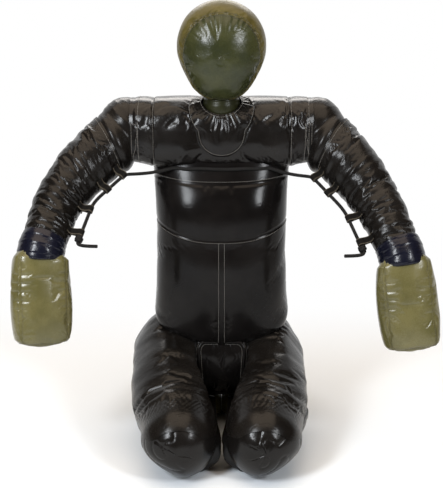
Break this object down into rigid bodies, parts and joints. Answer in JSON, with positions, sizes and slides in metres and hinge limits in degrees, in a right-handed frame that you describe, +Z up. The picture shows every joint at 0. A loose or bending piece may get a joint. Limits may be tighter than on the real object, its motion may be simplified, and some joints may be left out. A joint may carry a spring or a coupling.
{
  "type": "grappling dummy",
  "caption": "Kneeling stuffed grappling dummy in glossy vinyl, with bendable neck, arms and legs, boxy mitts and a drawcord laced from arm to arm.",
  "frame": {"origin": "centre of the underside, on the floor under the kneeling dummy", "axes": "+Z up, the dummy faces -Y, +X to its own left"},
  "size_m": [0.9658, 0.6202, 1.0591],
  "materials": {
    "black_vinyl": "gloss",
    "olive_vinyl": "satin",
    "padded_vinyl": "gloss",
    "wrist_tape": "gloss",
    "webbing": "matte",
    "drawcord": "matte",
    "stuffing": "matte"
  },
  "bodies": {
    "torso": {"back_panel": "black_vinyl", "belly_panel_left": "black_vinyl", "belly_panel_right": "black_vinyl", "chest_cord": "drawcord", "chest_panel": "black_vinyl", "collar_bib": "black_vinyl", "crotch_panel": "black_vinyl", "seat_fill": "stuffing", "seat_panel": "black_vinyl", "trunk_fill": "stuffing", "yoke_cover": "black_vinyl", "yoke_fill": "stuffing"},
    "neck": {"neck_fill": "stuffing", "neck_sleeve": "olive_vinyl"},
    "head": {"face_panel": "olive_vinyl", "head_back_panel": "olive_vinyl", "head_band": "olive_vinyl", "head_fill": "stuffing"},
    "shoulder_right": {"shoulder_cap_right": "padded_vinyl"},
    "upper_arm_right": {"arm_cord_right": "drawcord", "upper_arm_cover_right": "black_vinyl", "upper_arm_fill_right": "stuffing", "upper_arm_loop_1_right": "webbing", "upper_arm_loop_2_right": "webbing"},
    "forearm_right": {"elbow_cord_right": "drawcord", "forearm_cover_right": "black_vinyl", "forearm_fill_right": "stuffing", "forearm_loop_1_right": "webbing", "forearm_loop_2_right": "webbing", "tail_cord_right": "drawcord", "wrist_tape_right": "wrist_tape"},
    "mitt_right": {"mitt_cover_right": "olive_vinyl", "mitt_fill_right": "stuffing"},
    "thigh_right": {"thigh_cover_right": "black_vinyl", "thigh_fill_right": "stuffing"},
    "shin_right": {"shin_cover_right": "black_vinyl", "shin_fill_right": "stuffing"},
    "foot_right": {"foot_cover_right": "olive_vinyl", "foot_fill_right": "stuffing"},
    "shoulder_left": {"shoulder_cap_left": "padded_vinyl"},
    "upper_arm_left": {"arm_cord_left": "drawcord", "upper_arm_cover_left": "black_vinyl", "upper_arm_fill_left": "stuffing", "upper_arm_loop_1_left": "webbing", "upper_arm_loop_2_left": "webbing"},
    "forearm_left": {"elbow_cord_left": "drawcord", "forearm_cover_left": "black_vinyl", "forearm_fill_left": "stuffing", "forearm_loop_1_left": "webbing", "forearm_loop_2_left": "webbing", "tail_cord_left": "drawcord", "wrist_tape_left": "wrist_tape"},
    "mitt_left": {"mitt_cover_left": "olive_vinyl", "mitt_fill_left": "stuffing"},
    "thigh_left": {"thigh_cover_left": "black_vinyl", "thigh_fill_left": "stuffing"},
    "shin_left": {"shin_cover_left": "black_vinyl", "shin_fill_left": "stuffing"},
    "foot_left": {"foot_cover_left": "olive_vinyl", "foot_fill_left": "stuffing"}
  },
  "joints": [
    {"name": "neck_nod", "type": "hinge", "parent": "torso", "child": "neck", "pos_m": [-0.00969, 0.03093, 0.8154], "axis": [1, 0, 0], "range_deg": [-8, 14]},
    {"name": "head_turn", "type": "hinge", "parent": "neck", "child": "head", "pos_m": [-0.00969, 0.03093, 0.8714], "axis": [0, 0, 1], "range_deg": [-40, 40]},
    {"name": "shoulder_lift_right", "type": "hinge", "parent": "torso", "child": "shoulder_right", "pos_m": [-0.24169, 0.08093, 0.7574], "axis": [0, 1, 0], "range_deg": [-10, 35], "deforming": ["chest_cord"]},
    {"name": "shoulder_reach_right", "type": "hinge", "parent": "shoulder_right", "child": "upper_arm_right", "pos_m": [-0.24169, 0.08093, 0.7574], "axis": [0, 0, 1], "range_deg": [-25, 20], "deforming": ["chest_cord"]},
    {"name": "elbow_right", "type": "hinge", "parent": "upper_arm_right", "child": "forearm_right", "pos_m": [-0.37738, -0.02132, 0.63397], "axis": [-0.1068, -0.7049, 0.7012], "range_deg": [-18, 20], "deforming": ["elbow_cord_right"]},
    {"name": "wrist_right", "type": "hinge", "parent": "forearm_right", "child": "mitt_right", "pos_m": [-0.41928, -0.143, 0.50527], "axis": [-0.9416, -0.3342, 0.0422], "range_deg": [-15, 25]},
    {"name": "hip_right", "type": "hinge", "parent": "torso", "child": "thigh_right", "pos_m": [-0.12769, 0.10093, 0.1954], "axis": [1, 0, 0], "range_deg": [-4, 40]},
    {"name": "knee_right", "type": "hinge", "parent": "thigh_right", "child": "shin_right", "pos_m": [-0.10769, -0.22407, 0.0855], "axis": [-1, 0, 0], "range_deg": [0, 60]},
    {"name": "ankle_right", "type": "hinge", "parent": "shin_right", "child": "foot_right", "pos_m": [-0.08169, 0.07593, 0.035], "axis": [-1, 0, 0], "range_deg": [0, 20]},
    {"name": "shoulder_lift_left", "type": "hinge", "parent": "torso", "child": "shoulder_left", "pos_m": [0.22231, 0.08093, 0.7574], "axis": [0, -1, 0], "range_deg": [-10, 35], "deforming": ["chest_cord"]},
    {"name": "shoulder_reach_left", "type": "hinge", "parent": "shoulder_left", "child": "upper_arm_left", "pos_m": [0.22231, 0.08093, 0.7574], "axis": [0, 0, -1], "range_deg": [-25, 20], "deforming": ["chest_cord"]},
    {"name": "elbow_left", "type": "hinge", "parent": "upper_arm_left", "child": "forearm_left", "pos_m": [0.34359, -0.02828, 0.62524], "axis": [-0.0071, 0.7677, -0.6408], "range_deg": [-18, 20], "deforming": ["elbow_cord_left"]},
    {"name": "wrist_left", "type": "hinge", "parent": "forearm_left", "child": "mitt_left", "pos_m": [0.39994, -0.13887, 0.49214], "axis": [-0.9926, 0.0139, -0.1204], "range_deg": [-15, 25]},
    {"name": "hip_left", "type": "hinge", "parent": "torso", "child": "thigh_left", "pos_m": [0.10831, 0.10093, 0.1954], "axis": [1, 0, 0], "range_deg": [-4, 40]},
    {"name": "knee_left", "type": "hinge", "parent": "thigh_left", "child": "shin_left", "pos_m": [0.08831, -0.22407, 0.0855], "axis": [-1, 0, 0], "range_deg": [0, 60]},
    {"name": "ankle_left", "type": "hinge", "parent": "shin_left", "child": "foot_left", "pos_m": [0.06231, 0.07593, 0.035], "axis": [-1, 0, 0], "range_deg": [0, 20]}
  ]
}
